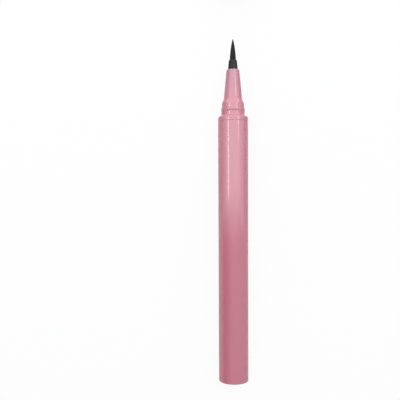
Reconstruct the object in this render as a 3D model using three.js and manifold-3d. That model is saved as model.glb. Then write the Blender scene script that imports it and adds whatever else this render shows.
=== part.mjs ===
// A slim liquid brow pen: a glossy pink barrel with a fine black brush at one end and a pull-off cap.
// Millimetres, +Z up. The pen lies on z = 0 with its brush towards +Y, and its cap lies pulled off in line
// ahead of it. The origin is under the middle of the two. Along the pen, places are measured from the
// shoulder that the closed cap's rim meets: positive towards the brush, negative towards the tail.

import * as THREE from 'three';
import { mergeVertices } from 'three/addons/utils/BufferGeometryUtils.js';
import Module from 'manifold-3d';

const wasm = await Module();
wasm.setup();

// How finely round shapes are cut
const sidesAround = 36;
const sidesOfCollector = 24;
const sidesOfFeedCore = 12;
const sidesOfSealRingSection = 8;
const ballSidesAround = 16;
const ballSidesUp = 12;
const arcStep = Math.PI / 6;

// Fits
const pressGap = 0.05; // round every piece that is pressed or glued into another
const runningGap = 0.05; // between the cap and what it slides over
const capSeatGap = 0.05; // between the closed cap's rim and the shoulder
const seamBevel = 0.1; // broken edges on both sides of the seam round the pen

// Barrel, a plain tube that narrows very slightly towards its tail
const barrelFrontDiameter = 11;
const barrelNarrowing = 0.125; // how much slimmer the tail is than the front, all round
const barrelLength = 94.5;
const barrelTailWall = 0.975;
const barrelTailRound = 0.3;

// Tail plug and its sealing ring
const plugSeatStep = 0.2; // the seat of the plug's head is this much wider than the bore, all round
const plugHeadLength = 1.2;
const plugLength = 7;
const plugWall = 0.9;
const plugFloor = 1.6;
const plugEdgeRound = 0.25;
const sealRingSection = 1;
const sealRingFromHead = 1.6;

// Front section, from the spigot in the barrel out to the rim of the cone
const spigotLength = 7;
const spigotWall = 0.95;
const spigotRound = 0.2;
const flangeLength = 1.8;
const flangeRound = 0.85;
const neckLength = 1.6;
const neckRound = 0.6;
const snapRingHeight = 0.1;
const snapRingLength = 1.45;
const snapRingRound = 0.5;
const collarStep = 0.17;
const collarStepLength = 0.1;
const collarLength = 1.6;
const collarRound = 1.1;
const chamferLength = 1.45;
const chamferDepth = 0.69;
const coneLength = 10.9;
const coneRimWall = 0.64;
const coneRimRound = 0.45;
const hollowDepth = 1.5; // how far the wide hollow reaches past the shoulder before it narrows

// Brush and its black holder
const brushDiameter = 2.16;
const brushLength = 7.85;
const brushRootLength = 6;
const brushRootSunk = 0.15;
const holderStemWall = 0.545;
const holderStemLength = 9;
const holderSeatWidth = 0.15;
const holderLength = 3.5;
const holderMouthWall = 0.37;
const holderMouthRound = 0.25;
const holderStemRound = 0.2;

// Bristles, an upright bundle that leans together and is trimmed to a pointed bud
const strandCount = 300;
const strandSides = 3;
const strandDiameter = 0.096;
const strandRootShare = 0.94; // the outermost strand's place, as a share of the brush's radius
const strandLeanShare = 0.35; // how far the bundle draws in from root to tip
const budPower = 1.7; // the bud's radius is (1 - height^budPower)^budBlunt of the root's
const budBlunt = 0.8;
const strandStationShares = [0, 0.7]; // rings of a strand, as shares of its own length
const strandTaperShares = [1, 0.7]; // its thickness there
const trimSteps = 24;

// Feed core and ink collector
const feedCoreStep = 0.23; // the core is this much slimmer than the brush, all round
const feedCoreReach = 3; // how far it stands into the ink
const collectorFinCount = 13;
const collectorFinThickness = 0.5;
const collectorFinGap = 0.75;
const collectorFinClearance = 0.35;
const collectorCoreWall = 0.8;
const collectorHeadLength = 1.6;
const collectorNoseWall = 0.55;
const collectorNoseGap = 0.3;
const airChannelWidth = 1;
const inkSlitWidth = 0.3;
const cutOverrun = 0.2;

// Partition between collector and ink
const partitionLength = 4;
const partitionWall = 0.8;
const partitionWeb = 1.2;
const partitionRound = 0.2;

// Mixing ball
const ballDiameter = 4;
const ballFloorGap = 0.1;
const ballEndGap = 0.5;

// Cap
const capInset = 0.025; // the cap is this much slimmer than the barrel, all round
const capWall = 0.9;
const capCeiling = 1.3;
const capEndRound = 0.9;
const capCeilingRound = 0.6;
const capRimRound = 0.4;
const capMouthBevel = 0.2;
const snapBeadHeight = 0.175;
const snapBeadLength = 0.7;
const snapBeadFromRim = 0.55;
const gateDiameter = 1.3;
const gateDepth = 0.12;
const capPullOff = 46; // how far the cap lies from its seat

// Inner cap, a liner that seals on the collar
const innerCapRingGap = 0.15;
const innerCapLipLength = 1.5;
const innerCapLipTaper = 1.6;
const innerCapGripLength = 7;
const innerCapShoulder = 1;
const innerCapWall = 0.75;
const innerCapWeb = 1;
const innerCapRound = 0.3;
const chamberClearance = 0.35;
const chamberTaper = 0.25; // how much the chamber narrows to its end
const chamberRound = 0.8;
const brushTipClearance = 1.7;
const spacerLength = 6.95;

// Radii, worked inwards from the outside of the pen
const flangeRadius = barrelFrontDiameter / 2;
const barrelTailRadius = flangeRadius - barrelNarrowing;
const boreRadius = barrelTailRadius - barrelTailWall;
const plugSeatRadius = boreRadius + plugSeatStep;
const pressedRadius = boreRadius - pressGap;
const capRadius = flangeRadius - capInset;
const capBoreRadius = capRadius - capWall;
const snapBeadRadius = capBoreRadius - snapBeadHeight;
const snapRingRadius = snapBeadRadius - runningGap;
const neckRadius = snapRingRadius - snapRingHeight;
const collarRadius = neckRadius - collarStep;
const coneBaseRadius = collarRadius - chamferDepth;

// Radii, worked outwards from the brush
const brushRadius = brushDiameter / 2;
const brushBoreRadius = brushRadius + pressGap;
const holderStemRadius = brushBoreRadius + holderStemWall;
const holderSeatRadius = holderStemRadius + holderSeatWidth;
const holderMouthRadius = brushBoreRadius + holderMouthWall;
const coneBoreRadius = holderStemRadius + pressGap;
const coneRimRadius = coneBoreRadius + coneRimWall;
const feedCoreRadius = brushRadius - feedCoreStep;
const feedBoreRadius = feedCoreRadius + pressGap;

// Places along the pen
const flangeBack = -flangeLength;
const spigotEnd = flangeBack - spigotLength;
const tailEnd = flangeBack - barrelLength;
const snapRingStart = neckLength;
const snapRingEnd = snapRingStart + snapRingLength;
const collarStart = snapRingEnd + collarStepLength;
const collarEnd = collarStart + collarLength;
const coneStart = collarEnd + chamferLength;
const coneEnd = coneStart + coneLength;
const holderEnd = coneEnd + holderLength;
const holderStemEnd = coneEnd - holderStemLength;
const brushRootTop = holderEnd - brushRootSunk;
const brushRootEnd = brushRootTop - brushRootLength;
const brushTip = holderEnd + brushLength;
const collectorHeadBack = spigotEnd - collectorHeadLength;
const collectorPitch = collectorFinThickness + collectorFinGap;
const collectorFinsEnd = collectorHeadBack - collectorFinCount * collectorPitch;
const collectorEnd = collectorFinsEnd - collectorFinGap - (partitionLength - partitionWeb);
const partitionBack = collectorEnd - partitionWeb;
const feedCoreEnd = partitionBack - feedCoreReach;
const plugInnerEnd = tailEnd + plugLength;
const chamberEnd = brushTip + brushTipClearance;
const spacerStart = chamberEnd + innerCapWeb;
const capCeilingAt = spacerStart + spacerLength;
const capLength = capCeilingAt + capCeiling;
const capRestAt = capPullOff + capSeatGap;

// Places in the room. A facet, not an edge, of the round barrel lies on the ground.
const axisHeight = flangeRadius * Math.cos(Math.PI / sidesAround);
const shoulderAt = -(capRestAt + capLength + tailEnd) / 2;

const pinkPlastic = new THREE.MeshStandardMaterial({ color: 0xd9909f, roughness: 0.18, metalness: 0 });
const blackPlastic = new THREE.MeshStandardMaterial({ color: 0x1c1b1d, roughness: 0.25, metalness: 0 });
const bristleBlack = new THREE.MeshStandardMaterial({ color: 0x161516, roughness: 0.45, metalness: 0 });
const whitePlastic = new THREE.MeshStandardMaterial({ color: 0xeeebe6, roughness: 0.4, metalness: 0 });
const clearPlastic = new THREE.MeshStandardMaterial({ color: 0xd9dcd8, roughness: 0.3, metalness: 0 });
const fibre = new THREE.MeshStandardMaterial({ color: 0x3a3436, roughness: 0.9, metalness: 0 });
const rubber = new THREE.MeshStandardMaterial({ color: 0x2b2b2b, roughness: 0.8, metalness: 0 });
const steel = new THREE.MeshStandardMaterial({ color: 0xb8babd, roughness: 0.15, metalness: 1 });

// Turns corners of the form [radius, along, roundness] into the points of an outline. A corner with a
// roundness becomes an arc that touches both of its edges; where an edge is too short for the arcs at its
// two ends, both shrink alike. A ring's outline closes on itself, any other runs from axis to axis.
function rounded(corners, ring = false) {
  const count = corners.length;
  const place = (i) => {
    const [radius, along] = corners[(i + count) % count];
    return new THREE.Vector2(radius, along);
  };
  const bends = corners.map(([, , roundness = 0], i) => {
    const back = place(i - 1).sub(place(i));
    const ahead = place(i + 1).sub(place(i));
    const half = back.angleTo(ahead) / 2;
    return { back, ahead, half, reach: roundness / Math.tan(half) };
  });
  const outline = [];
  bends.forEach(({ back, ahead, half, reach }, i) => {
    if (reach === 0) {
      outline.push(place(i));
      return;
    }
    const behind = bends[(i - 1 + count) % count];
    const before = bends[(i + 1) % count];
    const fit = Math.min(1, back.length() / (reach + behind.reach), ahead.length() / (reach + before.reach));
    const touch = reach * fit;
    const radius = touch * Math.tan(half);
    const toCentre = back.clone().normalize().add(ahead.clone().normalize()).normalize();
    const centre = place(i).addScaledVector(toCentre, radius / Math.sin(half));
    const start = place(i).addScaledVector(back.clone().normalize(), touch);
    const sweep = Math.PI - 2 * half;
    const turn = -Math.sign(back.cross(ahead)) * sweep;
    const steps = Math.max(1, Math.ceil(sweep / arcStep));
    for (let step = 0; step <= steps; step += 1) {
      outline.push(start.clone().rotateAround(centre, (turn * step) / steps));
    }
  });
  if (ring) outline.push(outline[0].clone());
  return outline;
}

// Turns an outline round the pen's axis, with facets squarely above and below.
function turned(outline, sides = sidesAround) {
  return new THREE.LatheGeometry(outline, sides, Math.PI / sides);
}

function turnedRing(corners, sides) {
  return turned(rounded(corners, true), sides);
}

function turnedSolid(corners, sides) {
  return turned(rounded(corners), sides);
}

// A closed geometry as a solid that can be cut and joined.
function solidOf(geometry) {
  const bare = geometry.clone();
  bare.deleteAttribute('normal');
  bare.deleteAttribute('uv');
  const merged = mergeVertices(bare);
  const vertProperties = new Float32Array(merged.attributes.position.array);
  const triVerts = [];
  for (let i = 0; i < merged.index.count; i += 3) {
    const [a, b, c] = [0, 1, 2].map((step) => merged.index.getX(i + step));
    if (a !== b && b !== c && c !== a) triVerts.push(a, b, c);
  }
  return new wasm.Manifold(new wasm.Mesh({ numProp: 3, vertProperties, triVerts: new Uint32Array(triVerts) }));
}

function geometryOf(solid) {
  const mesh = solid.getMesh();
  const geometry = new THREE.BufferGeometry();
  geometry.setAttribute('position', new THREE.BufferAttribute(new Float32Array(mesh.vertProperties), 3));
  geometry.setIndex(new THREE.BufferAttribute(new Uint32Array(mesh.triVerts), 1));
  geometry.computeVertexNormals();
  return geometry;
}

// A tube with a counterbore at the tail for the head of the plug.
function barrel() {
  return turnedRing([
    [plugSeatRadius, tailEnd],
    [barrelTailRadius, tailEnd, barrelTailRound],
    [flangeRadius, flangeBack - seamBevel],
    [flangeRadius - seamBevel, flangeBack],
    [boreRadius, flangeBack],
    [boreRadius, tailEnd + plugHeadLength],
    [plugSeatRadius, tailEnd + plugHeadLength],
  ]);
}

const sealRingOuter = pressedRadius;
const sealRingInner = sealRingOuter - sealRingSection;
const sealGrooveRadius = sealRingInner - pressGap;
const sealGrooveStart = tailEnd + plugHeadLength + sealRingFromHead;
const sealGrooveEnd = sealGrooveStart + sealRingSection + 2 * pressGap;

// A cup pressed into the tail: its head closes the barrel flush, its skirt carries the sealing ring.
function tailPlug() {
  const headRadius = plugSeatRadius - pressGap;
  const headEnd = tailEnd + plugHeadLength;
  const skirtInside = sealGrooveRadius - plugWall;
  return turnedSolid([
    [0, tailEnd],
    [headRadius, tailEnd, plugEdgeRound],
    [headRadius, headEnd],
    [pressedRadius, headEnd],
    [pressedRadius, sealGrooveStart],
    [sealGrooveRadius, sealGrooveStart],
    [sealGrooveRadius, sealGrooveEnd],
    [pressedRadius, sealGrooveEnd],
    [pressedRadius, plugInnerEnd, plugEdgeRound],
    [skirtInside, plugInnerEnd],
    [skirtInside, tailEnd + plugFloor],
    [0, tailEnd + plugFloor],
  ]);
}

function tailSealRing() {
  const section = sealRingSection / 2;
  const middleRadius = sealRingInner + section;
  const middleAlong = (sealGrooveStart + sealGrooveEnd) / 2;
  const outline = [];
  for (let i = 0; i <= sidesOfSealRingSection; i += 1) {
    const angle = (2 * Math.PI * (i % sidesOfSealRingSection)) / sidesOfSealRingSection;
    outline.push(new THREE.Vector2(
      middleRadius + section * Math.cos(angle),
      middleAlong + section * Math.sin(angle),
    ));
  }
  return turned(outline);
}

// Spigot, flange, neck, snap ring, sealing collar and cone in one moulding, hollow from end to end.
function frontSection() {
  const snapRingMiddle = (snapRingStart + snapRingEnd) / 2;
  const spigotInside = pressedRadius - spigotWall;
  return turnedRing([
    [spigotInside, spigotEnd],
    [pressedRadius, spigotEnd, spigotRound],
    [pressedRadius, flangeBack],
    [flangeRadius - seamBevel, flangeBack],
    [flangeRadius, flangeBack + seamBevel],
    [flangeRadius, 0, flangeRound],
    [neckRadius, 0, neckRound],
    [neckRadius, snapRingStart],
    [snapRingRadius, snapRingMiddle, snapRingRound],
    [neckRadius, snapRingEnd],
    [collarRadius, collarStart],
    [collarRadius, collarEnd, collarRound],
    [coneBaseRadius, coneStart],
    [coneRimRadius, coneEnd, coneRimRound],
    [coneBoreRadius, coneEnd],
    [coneBoreRadius, coneStart],
    [spigotInside, hollowDepth],
  ]);
}

// The black holder: a stem down the cone's bore and a tapered head that sits on the cone's rim.
function brushHolder() {
  return turnedRing([
    [feedBoreRadius, holderStemEnd],
    [holderStemRadius, holderStemEnd, holderStemRound],
    [holderStemRadius, coneEnd],
    [holderSeatRadius, coneEnd],
    [holderMouthRadius, holderEnd, holderMouthRound],
    [brushBoreRadius, holderEnd],
    [brushBoreRadius, brushRootEnd],
    [feedBoreRadius, brushRootEnd],
  ]);
}

// The bud's radius at a height from 0 at the holder's mouth to 1 at the tip, as a share of the root's.
function budShare(height) {
  return (1 - height ** budPower) ** budBlunt;
}

// The bundle's width at that height, as a share of its width at the root.
function bundleShare(height) {
  return 1 - strandLeanShare * height;
}

// The height at which a strand of the bundle meets the bud's surface, found by halving.
function trimHeight(strandShare) {
  let low = 0;
  let high = 1;
  for (let step = 0; step < trimSteps; step += 1) {
    const middle = (low + high) / 2;
    if (strandShare * bundleShare(middle) < budShare(middle)) low = middle;
    else high = middle;
  }
  return low;
}

// Strands stand on a sunflower spiral, so that all are equally far apart. Every strand is straight and
// leans to one point far above the brush, so that none meets another, and ends on the bud's surface.
function strands() {
  const goldenAngle = Math.PI * (3 - Math.sqrt(5));
  const positions = [];
  const indices = [];
  for (let strand = 0; strand < strandCount; strand += 1) {
    const share = Math.sqrt((strand + 0.5) / strandCount) * strandRootShare;
    const bearing = strand * goldenAngle;
    const height = trimHeight(share);
    const first = positions.length / 3;
    const centreAt = (along) => {
      const radius = share * brushRadius * bundleShare(along);
      return [radius * Math.sin(bearing), radius * Math.cos(bearing)];
    };
    strandStationShares.forEach((stationShare, station) => {
      const along = station === 0 ? -brushRootSunk / brushLength : height * stationShare;
      const [x, z] = centreAt(along);
      const thickness = (strandDiameter / 2) * strandTaperShares[station] * bundleShare(along);
      const sunk = station === 0 ? cutOverrun : 0;
      for (let side = 0; side < strandSides; side += 1) {
        const angle = bearing + (2 * Math.PI * side) / strandSides;
        positions.push(
          x + thickness * Math.sin(angle),
          holderEnd + along * brushLength - sunk,
          z + thickness * Math.cos(angle),
        );
      }
    });
    const [tipX, tipZ] = centreAt(height);
    positions.push(tipX, holderEnd + height * brushLength, tipZ);
    const stations = strandStationShares.length;
    const tip = first + stations * strandSides;
    for (let side = 0; side < strandSides; side += 1) {
      const next = (side + 1) % strandSides;
      for (let station = 0; station < stations - 1; station += 1) {
        const low = first + station * strandSides;
        const high = low + strandSides;
        indices.push(low + side, low + next, high + next, low + side, high + next, high + side);
      }
      const last = first + (stations - 1) * strandSides;
      indices.push(last + side, last + next, tip);
    }
    for (let side = 1; side < strandSides - 1; side += 1) {
      indices.push(first, first + side + 1, first + side);
    }
  }
  return new wasm.Manifold(new wasm.Mesh({
    numProp: 3,
    vertProperties: new Float32Array(positions),
    triVerts: new Uint32Array(indices),
  }));
}

// The glued root, sunk in the holder, and the bristles that grow from it.
function brush() {
  const root = turnedSolid([
    [0, brushRootEnd],
    [brushRadius, brushRootEnd],
    [brushRadius, brushRootTop],
    [0, brushRootTop],
  ]);
  return geometryOf(solidOf(root).add(strands()));
}

// The fibre rod that draws ink from behind the partition, through the collector, to the brush's root.
function feedCore() {
  return turnedSolid([
    [0, feedCoreEnd],
    [feedCoreRadius, feedCoreEnd],
    [feedCoreRadius, brushRootEnd],
    [0, brushRootEnd],
  ], sidesOfFeedCore);
}

// A comb of thin fins that catches the ink which warm air pushes out of the tank. A wide air channel runs
// down one side of the fins and a narrow ink slit down the other.
function inkCollector() {
  const coreRadius = feedBoreRadius + collectorCoreWall;
  const finRadius = boreRadius - collectorFinClearance;
  const noseRadius = feedBoreRadius + collectorNoseWall;
  const noseEnd = holderStemEnd - collectorNoseGap;
  const corners = [[feedBoreRadius, collectorEnd], [coreRadius, collectorEnd]];
  for (let fin = 0; fin < collectorFinCount; fin += 1) {
    const start = collectorFinsEnd + fin * collectorPitch;
    const end = start + collectorFinThickness;
    corners.push([coreRadius, start], [finRadius, start], [finRadius, end], [coreRadius, end]);
  }
  corners.push(
    [coreRadius, collectorHeadBack],
    [pressedRadius, collectorHeadBack],
    [pressedRadius, spigotEnd],
    [noseRadius, spigotEnd],
    [noseRadius, noseEnd],
    [feedBoreRadius, noseEnd],
  );
  const slot = (width, side) => {
    const depth = boreRadius - coreRadius;
    const length = collectorHeadBack - collectorFinsEnd + cutOverrun;
    const box = new THREE.BoxGeometry(depth, length, width);
    box.translate(side * (coreRadius + depth / 2), collectorHeadBack - length / 2, 0);
    return solidOf(box);
  };
  const comb = solidOf(turnedRing(corners, sidesOfCollector));
  return geometryOf(comb.subtract(slot(airChannelWidth, 1)).subtract(slot(inkSlitWidth, -1)));
}

// A shallow cup pressed into the barrel, open towards the collector, with a hole for the feed core.
function tankPartition() {
  const skirtInside = pressedRadius - partitionWall;
  const front = partitionBack + partitionLength;
  return turnedRing([
    [feedBoreRadius, partitionBack],
    [pressedRadius, partitionBack, partitionRound],
    [pressedRadius, front],
    [skirtInside, front],
    [skirtInside, collectorEnd],
    [feedBoreRadius, collectorEnd],
  ]);
}

// The cap, a cup with its mouth at 0: a snap bead behind the mouth, and the mark of the moulding gate in
// the middle of the closed end.
function capShell() {
  const beadEnd = snapBeadFromRim + snapBeadLength;
  const beadMiddle = (snapBeadFromRim + beadEnd) / 2;
  const gateRadius = gateDiameter / 2;
  return turnedSolid([
    [0, capCeilingAt],
    [capBoreRadius, capCeilingAt, capCeilingRound],
    [capBoreRadius, beadEnd],
    [snapBeadRadius, beadMiddle, snapBeadHeight],
    [capBoreRadius, snapBeadFromRim],
    [capBoreRadius, capMouthBevel],
    [capBoreRadius + capMouthBevel, 0],
    [capRadius, 0, capRimRound],
    [capRadius, capLength, capEndRound],
    [gateRadius, capLength],
    [gateRadius - gateDepth, capLength - gateDepth],
    [0, capLength - gateDepth],
  ]);
}

// The liner: a lip that seals on the collar, a chamber for the brush, and behind its web a spacer that
// stands on the cap's ceiling.
function innerCap() {
  const gripRadius = capBoreRadius - pressGap;
  const lipRadius = collarRadius + runningGap;
  const lipStart = collarStart + innerCapRingGap;
  const lipEnd = lipStart + innerCapLipLength;
  const chamberBaseRadius = coneBaseRadius + chamberClearance;
  const chamberEndRadius = chamberBaseRadius - chamberTaper;
  const bodyRadius = chamberEndRadius + innerCapWall;
  const gripEnd = lipStart + innerCapGripLength;
  const spacerInside = bodyRadius - innerCapWall;
  return turnedSolid([
    [0, chamberEnd],
    [chamberEndRadius, chamberEnd, chamberRound],
    [chamberBaseRadius, lipEnd + innerCapLipTaper],
    [lipRadius, lipEnd],
    [lipRadius, lipStart],
    [gripRadius, lipStart, innerCapRound],
    [gripRadius, gripEnd],
    [bodyRadius, gripEnd + innerCapShoulder],
    [bodyRadius, capCeilingAt - pressGap, innerCapRound],
    [spacerInside, capCeilingAt - pressGap],
    [spacerInside, spacerStart],
    [0, spacerStart],
  ]);
}

// A steel ball, loose in the ink, that lies on the floor of the bore near the tail plug.
function mixingBall() {
  const radius = ballDiameter / 2;
  const boreFloor = boreRadius * Math.cos(Math.PI / sidesAround);
  const ball = new THREE.SphereGeometry(radius, ballSidesAround, ballSidesUp);
  ball.translate(0, plugInnerEnd + ballEndGap + radius, radius + ballFloorGap - boreFloor);
  return ball;
}

function piece(name, geometry, material) {
  const mesh = new THREE.Mesh(geometry, material);
  mesh.name = name;
  return mesh;
}

const pen = new THREE.Group();
pen.add(
  piece('barrel', barrel(), pinkPlastic),
  piece('tail_plug', tailPlug(), pinkPlastic),
  piece('tail_seal_ring', tailSealRing(), rubber),
  piece('front_section', frontSection(), pinkPlastic),
  piece('brush_holder', brushHolder(), blackPlastic),
  piece('brush', brush(), bristleBlack),
  piece('feed_core', feedCore(), fibre),
  piece('ink_collector', inkCollector(), clearPlastic),
  piece('tank_partition', tankPartition(), clearPlastic),
  piece('mixing_ball', mixingBall(), steel),
);

const cap = new THREE.Group();
cap.position.y = capRestAt;
cap.add(
  piece('cap_shell', capShell(), pinkPlastic),
  piece('inner_cap', innerCap(), whitePlastic),
);

const group = new THREE.Group();
group.position.set(0, shoulderAt, axisHeight);
group.add(pen, cap);

export default group;
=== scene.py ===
"""A slim liquid brow pen, lying open, with its cap pulled off in line ahead of it.

The pen lies along +Y with its brush forward. Nearly every piece is turned: an outline in millimetres,
given as distance from the pen's axis and place along it, is carried round that axis. Places on the pen
are measured from the shoulder that the closed cap's rim meets, and places on the cap from its rim.
"""

import math

import bpy
import numpy as np
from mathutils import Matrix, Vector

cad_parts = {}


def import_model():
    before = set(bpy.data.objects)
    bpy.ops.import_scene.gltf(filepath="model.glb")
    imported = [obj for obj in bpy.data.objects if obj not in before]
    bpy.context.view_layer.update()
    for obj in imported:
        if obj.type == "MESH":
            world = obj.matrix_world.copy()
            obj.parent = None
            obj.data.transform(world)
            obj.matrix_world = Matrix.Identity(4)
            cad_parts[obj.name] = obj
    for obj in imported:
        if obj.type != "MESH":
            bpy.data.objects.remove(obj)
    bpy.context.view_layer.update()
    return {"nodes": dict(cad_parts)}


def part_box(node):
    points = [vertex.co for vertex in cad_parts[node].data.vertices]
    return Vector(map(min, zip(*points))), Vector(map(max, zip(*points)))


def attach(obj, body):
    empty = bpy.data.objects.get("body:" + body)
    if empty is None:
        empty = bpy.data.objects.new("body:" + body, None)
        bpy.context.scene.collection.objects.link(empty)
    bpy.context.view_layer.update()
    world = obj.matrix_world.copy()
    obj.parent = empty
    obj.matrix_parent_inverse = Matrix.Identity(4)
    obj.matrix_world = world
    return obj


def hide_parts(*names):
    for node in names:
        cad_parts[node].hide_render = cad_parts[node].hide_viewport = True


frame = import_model()

MM = 0.001

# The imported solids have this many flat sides. The round pieces here touch the middles of those sides from
# inside, so the pen rests on the ground as its solid does.
PACKED_SIDES = 36
INSIDE_SIDES = math.cos(math.pi / PACKED_SIDES)

# How finely round shapes are cut
SIDES = 180
SMALL_SIDES = 96
ARC_STEPS = 10
SEAL_STEPS = 24
BALL_STEPS = 48
HOLDING = 0.12  # straight stretches get a ring this near to each end, so that the shading stays flat between
SHARP_DEGREES = 38
NEARLY_ZERO = 1e-6

# Fits, in millimetres
PRESS_GAP = 0.05
SEAM_BEVEL = 0.1

# Barrel
BARREL_FRONT_RADIUS = 5.5
BARREL_TAIL_RADIUS = 5.375
BORE_RADIUS = 4.4
BARREL_TAIL_ROUND = 0.3
BARREL_SEAT_ROUND = 0.05
BARREL_MOUTH_ROUND = 0.1
PRESSED_RADIUS = BORE_RADIUS - PRESS_GAP

# Tail plug and its sealing ring
PLUG_SEAT_RADIUS = 4.6
PLUG_HEAD_LENGTH = 1.2
PLUG_LENGTH = 7
PLUG_WALL = 0.9
PLUG_FLOOR = 1.6
PLUG_EDGE_ROUND = 0.25
PLUG_STEP_ROUND = 0.04
PLUG_LIP_ROUND = 0.15
PLUG_FLOOR_ROUND = 0.4
SEAL_SECTION = 0.5
SEAL_FROM_HEAD = 1.6
GROOVE_EDGE_ROUND = 0.05
GROOVE_FLOOR_ROUND = 0.1

# Front section
SPIGOT_LENGTH = 7
SPIGOT_WALL = 0.95
SPIGOT_ROUND = 0.2
SPIGOT_BORE_ROUND = 0.1
SPIGOT_ROOT_ROUND = 0.1
FLANGE_LENGTH = 1.8
FLANGE_ROUND = 0.85
NECK_RADIUS = 4.25
NECK_ROUND = 0.6
NECK_END_ROUND = 0.12
SNAP_RING_RADIUS = 4.35
SNAP_RING_START = 1.6
SNAP_RING_END = 3.05
SNAP_RING_ROUND = 0.5
SNAP_RING_VALLEY = 0.06
COLLAR_RADIUS = 4.08
COLLAR_START = 3.15
COLLAR_END = 4.75
COLLAR_ROUND = 1.1
COLLAR_FOOT_ROUND = 0.04
CONE_START = 6.2
CONE_BASE_RADIUS = 3.39
CONE_FOOT_ROUND = 0.2
CONE_END = 17.1
CONE_RIM_RADIUS = 2.365
CONE_RIM_ROUND = 0.45
CONE_MOUTH_ROUND = 0.1
HOLLOW_END = 1.5  # the spigot's wide hollow ends here and narrows to the cone's bore

# Brush holder
HOLDER_STEM_RADIUS = 1.675
HOLDER_STEM_END = 8.1
HOLDER_STEM_ROUND = 0.2
HOLDER_SEAT_RADIUS = 1.825
HOLDER_SEAT_ROUND = 0.06
HOLDER_MOUTH_RADIUS = 1.5
HOLDER_MOUTH_ROUND = 0.25
HOLDER_LIP_ROUND = 0.08
HOLDER_BORE_ROUND = 0.1
HOLDER_END = 20.6
CONE_BORE_RADIUS = HOLDER_STEM_RADIUS + PRESS_GAP

# Brush
BRUSH_RADIUS = 1.08
BRUSH_LENGTH = 7.85
BRUSH_ROOT_SUNK = 0.15
BRUSH_ROOT_LENGTH = 6
BRUSH_BORE_RADIUS = BRUSH_RADIUS + PRESS_GAP
ROOT_FRONT = HOLDER_END - BRUSH_ROOT_SUNK
ROOT_BACK = ROOT_FRONT - BRUSH_ROOT_LENGTH

# Feed core and partition
FEED_RADIUS = 0.85
FEED_REACH = 3
FEED_END_ROUND = 0.15
FEED_BORE_RADIUS = FEED_RADIUS + PRESS_GAP
PARTITION_LENGTH = 4
PARTITION_WALL = 0.8
PARTITION_WEB = 1.2
PARTITION_ROUND = 0.2
PARTITION_BORE_ROUND = 0.08
PARTITION_RIM_ROUND = 0.15
PARTITION_FLOOR_ROUND = 0.3

# Cap
CAP_RADIUS = 5.475
CAP_BORE_RADIUS = 4.575
CAP_LENGTH = 39.4
CAP_CEILING = 1.3
CAP_END_ROUND = 0.9
CAP_CEILING_ROUND = 0.6
CAP_RIM_ROUND = 0.4
CAP_MOUTH_BEVEL = 0.2
CAP_MOUTH_ROUND = 0.1
BEAD_RADIUS = 4.4
BEAD_START = 0.55
BEAD_END = 1.25
BEAD_ROUND = 0.2
BEAD_FOOT_ROUND = 0.1
GATE_RADIUS = 0.65
GATE_DEPTH = 0.12
GATE_ROUND = 0.06

# Inner cap
LIP_START = 3.3
LIP_END = 4.8
LIP_RADIUS = 4.13
LIP_TAPER = 1.6
LIP_ROUND = 0.2
LIP_EDGE_ROUND = 0.08
GRIP_LENGTH = 7
GRIP_SHOULDER = 1
GRIP_ROUND = 0.2
CHAMBER_BASE_RADIUS = 3.74
CHAMBER_BASE_ROUND = 0.3
CHAMBER_END_RADIUS = 3.49
CHAMBER_END = 30.15
CHAMBER_ROUND = 0.8
LINER_WALL = 0.75
LINER_WEB = 1
LINER_ROUND = 0.3
LINER_SKIRT_ROUND = 0.1
LINER_WEB_ROUND = 0.3
OLD_INK_START = 14

# Places that follow from the frame: three in it, in millimetres, and four on the pen
barrel_low, barrel_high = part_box("barrel")
ball_low, ball_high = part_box("mixing_ball")
AXIS_HEIGHT = (barrel_low.z + barrel_high.z) / 2 / MM
SHOULDER = barrel_high.y / MM + FLANGE_LENGTH
CAP_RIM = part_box("cap_shell")[0].y / MM
PARTITION_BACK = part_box("tank_partition")[0].y / MM - SHOULDER
TAIL_END = barrel_low.y / MM - SHOULDER
PLUG_HEAD_END = TAIL_END + PLUG_HEAD_LENGTH
GROOVE_START = PLUG_HEAD_END + SEAL_FROM_HEAD


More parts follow.
